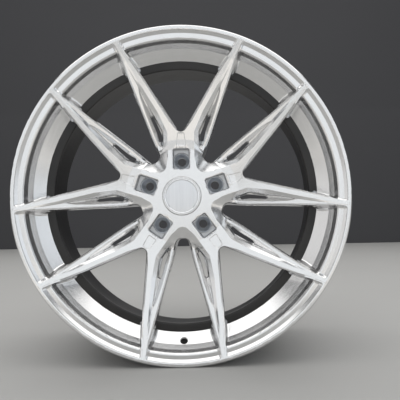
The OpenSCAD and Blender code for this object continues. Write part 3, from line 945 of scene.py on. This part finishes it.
seat_outline = [(LUG_HOLE_R, 83.5), (8.1, 82.8), (12.9, 74.3), (13.0, SEAT_TOP), (SEAT_R, SEAT_TOP),
                (SEAT_R, SEAT_BOTTOM), (LUG_HOLE_R, SEAT_BOTTOM)]
for i in range(ARMS):
    turned_seat = lathe(soften(seat_outline, 0.5, 4), 72, centre=on_circle(LUG_CIRCLE_R, 72 * i))
    seat = solid_of(f"bolt_seat_{i + 1}", [turned_seat], 40)
    finish_piece(seat, "wheel", "seat_steel", MATERIALS["seat"], f"lug_seat_{i + 1}")

spigot_outline = [(36.3, 85.5), (36.8, 85), (37.45, 85), (37.95, 85.5), (37.95, HUB_SPAN), (39.3, 98),
                  (37.3, 98), (36.3, 97)]
spigot = solid_of("centring_ring", [lathe(soften(spigot_outline, 0.35, 3), 144)], 40)
finish_piece(spigot, "wheel", "turned_aluminium", MATERIALS["ring"], "spigot_ring")

cap_outline = [(0.01, CAP_SEAT_DEPTH), (29.4, CAP_SEAT_DEPTH), (29.4, 47), (29.9, 46.5), (31.3, 46.5),
               (32.2, 47.4), (32.2, 56), (28, 56), (28, 52.2), (0.01, 52.2)]
cap = solid_of("cap_shell", [lathe(soften(cap_outline, 0.5, 4), 160)], 40)
finish_piece(cap, "centre_cap", "cap_aluminium", MATERIALS["cap"], "cap_body")

bezel_outline = [(27.1, CAP_SEAT_DEPTH), (27.1, 47), (27.7, 46.6), (29.0, 46.6), (29.35, 47),
                 (29.35, CAP_SEAT_DEPTH)]
bezel = solid_of("cap_trim", [lathe(soften(bezel_outline, 0.45, 5), 160)], 60)
finish_piece(bezel, "centre_cap", "bezel_chrome", MATERIALS["bezel"], "cap_bezel")

badge_outline = [(0.01, CAP_SEAT_DEPTH), (0.01, 47.0), (8, 47.03), (14, 47.1), (22, 47.3), (25.4, 47.42),
                 (26.4, 47.5), (27.0, 48), (27.0, CAP_SEAT_DEPTH)]
badge = solid_of("cap_disc", [lathe(badge_outline, 160)], 30)
finish_piece(badge, "centre_cap", "badge_aluminium", MATERIALS["badge"], "cap_badge")

hoop = soften([(23.5, 52.2), (27.9, 52.2), (27.9, 56), (31.75, 56), (31.7, 59), (29.6, 59), (29.6, 58.4),
               (23.5, 58.4)], 0.5, 3)
leg = soften([(29.6, 58.6), (31.7, 58.6), (31.6, 63.5), (32.2, 65), (32.2, 66.5), (31, 69.5), (29.6, 69.5)],
             0.5, 3)
half_slit = math.degrees(math.asin(5 / 30.6))
legs = [lathe(leg, 14, start=60 * k + half_slit, sweep=60 - 2 * half_slit) for k in range(6)]
carrier = solid_of("cap_legs", [lathe(hoop, 120), *legs], 40)
finish_piece(carrier, "centre_cap", "carrier_plastic", MATERIALS["plastic"], "cap_carrier")

wire = [(28.6 + 0.88 * math.cos(t), 66.5 + 0.88 * math.sin(t)) for t in np.linspace(0, 2 * math.pi, 15)[:-1]]
spring = solid_of("cap_wire", [lathe(wire, 120)], 80)
finish_piece(spring, "centre_cap", "spring_steel", MATERIALS["spring"], "cap_spring_ring")

screw_outline = [(0.01, 50.7), (1.2, 50.7), (1.2, 58.4), (2.3, 58.4), (2.1, 59.5), (1.2, 60.0), (1.0, 59.9),
                 (0.9, 59.2), (0.01, 59.2)]
screw_parts = [lathe(soften(screw_outline, 0.2, 3), 28, centre=on_circle(25.7, 60 + 120 * k))
               for k in range(3)]
screws = solid_of("cap_fixings", screw_parts, 35)
finish_piece(screws, "centre_cap", "plated_steel", MATERIALS["plated"], "cap_screws")

# ---------- stage, light and camera ----------

def plain(name, colour, roughness):
    """Matt material with a faint variation, for the stage."""
    m = Nodes(name)
    speck = m.noise(m.place(), 3.0, 3)
    low = tuple(c * 0.97 for c in colour)
    m.join(m.ramp(m.spread(speck, 0, 1), low, colour), m.shader.inputs["Base Color"])
    m.fixed(Roughness=roughness)
    return m.material


def stage_sheet(name, line, colour, roughness):
    """Wide sheet that follows a line of (y, z)."""
    points = [(x, y, z) for x in (-9.0, 9.0) for y, z in line]
    n = len(line)
    faces = [(i, i + 1, n + i + 1, n + i) for i in range(n - 1)]
    obj = new_object(name, points, faces)
    obj.data.materials.append(plain(name, colour, roughness))


GROUND = -(LIP_R + 0.2) / 1000
BACKDROP_Y = 2.6
stage_sheet("floor", [(-7.0, GROUND), (BACKDROP_Y, GROUND)], (0.50, 0.495, 0.48), 0.6)
# The backdrop is made nearly black so that the windows look dark: painted shade standing in for the wheel's
# shadow on the wall behind.
stage_sheet("backdrop", [(BACKDROP_Y, GROUND - 0.01), (BACKDROP_Y, 7.0)], (0.065, 0.065, 0.07), 0.8)


def area_light(name, place, target, size, power, colour=(1, 1, 1)):
    """Soft rectangular light that the camera doesn't see, turned towards the target."""
    data = bpy.data.lights.new(name, "AREA")
    data.shape = "RECTANGLE"
    data.size, data.size_y = size
    data.energy = power
    data.color = colour
    obj = bpy.data.objects.new(name, data)
    bpy.context.scene.collection.objects.link(obj)
    obj.location = place
    obj.rotation_euler = (Vector(target) - Vector(place)).to_track_quat("-Z", "Y").to_euler()
    obj.visible_camera = False


area_light("panel", (0, -3.4, 1.25), (0, 0, 1.25), (4.6, 3.0), 39, (0.95, 0.98, 1.0))
area_light("ceiling", (0, -0.2, 2.6), (0, -0.2, 0), (5.0, 4.2), 96, (1.0, 0.995, 0.985))
area_light("card", (0, -1.3, -0.262), (0, -1.3, 1), (2.6, 1.2), 5.5, (1.0, 0.95, 0.89))
area_light("left", (-2.4, -1.0, 0.6), (0, 0, 0.1), (1.6, 2.0), 7.5, (0.97, 0.96, 0.95))
area_light("right", (2.4, -1.0, 0.6), (0, 0, 0.1), (1.6, 2.0), 9, (0.90, 0.95, 1.0))
area_light("rear", (0, 2.5, 1.0), (0, 0, 0.2), (4.4, 2.2), 30)

world = bpy.data.worlds.new("world")
world.use_nodes = True
world.node_tree.nodes["Background"].inputs["Color"].default_value = (0.90, 0.93, 0.97, 1)
world.node_tree.nodes["Background"].inputs["Strength"].default_value = 0.10
bpy.context.scene.world = world
bpy.context.scene.view_settings.view_transform = "Standard"

camera_data = bpy.data.cameras.new("camera")
camera_data.lens = 44.83468
camera_data.sensor_width = 36
camera_data.clip_start = 0.05
camera = bpy.data.objects.new("camera", camera_data)
bpy.context.scene.collection.objects.link(camera)
camera.location = (0.03053, -0.91971, -0.02593)
camera.rotation_euler = [math.radians(a) for a in (91.26774, 1.04958, 0.0389)]
bpy.context.scene.camera = camera
